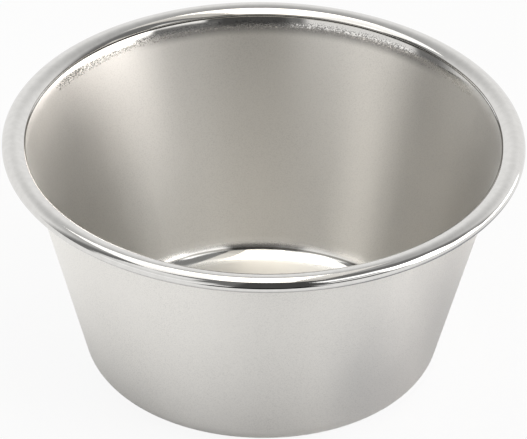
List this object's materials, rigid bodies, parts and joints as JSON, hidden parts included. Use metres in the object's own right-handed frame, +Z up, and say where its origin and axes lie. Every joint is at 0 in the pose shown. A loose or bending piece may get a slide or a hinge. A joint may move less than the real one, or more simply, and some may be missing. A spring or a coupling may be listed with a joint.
{
  "type": "pudding cup mould",
  "caption": "Small tapered cup mould drawn from thin stainless sheet, with a flat floor, a rounded corner and an outward rolled rim, for baking and setting puddings.",
  "frame": {"origin": "centre of the flat underside, on the surface that the cup stands on", "axes": "+Z up through the open mouth, along the cup's axis of revolution; X and Y are equal"},
  "size_m": [0.076, 0.076, 0.037],
  "materials": {
    "satin_steel": "satin",
    "burnished_steel": "burnished bright"
  },
  "bodies": {
    "root": {"cup_body": "satin_steel", "rolled_rim": "burnished_steel"}
  },
  "joints": []
}
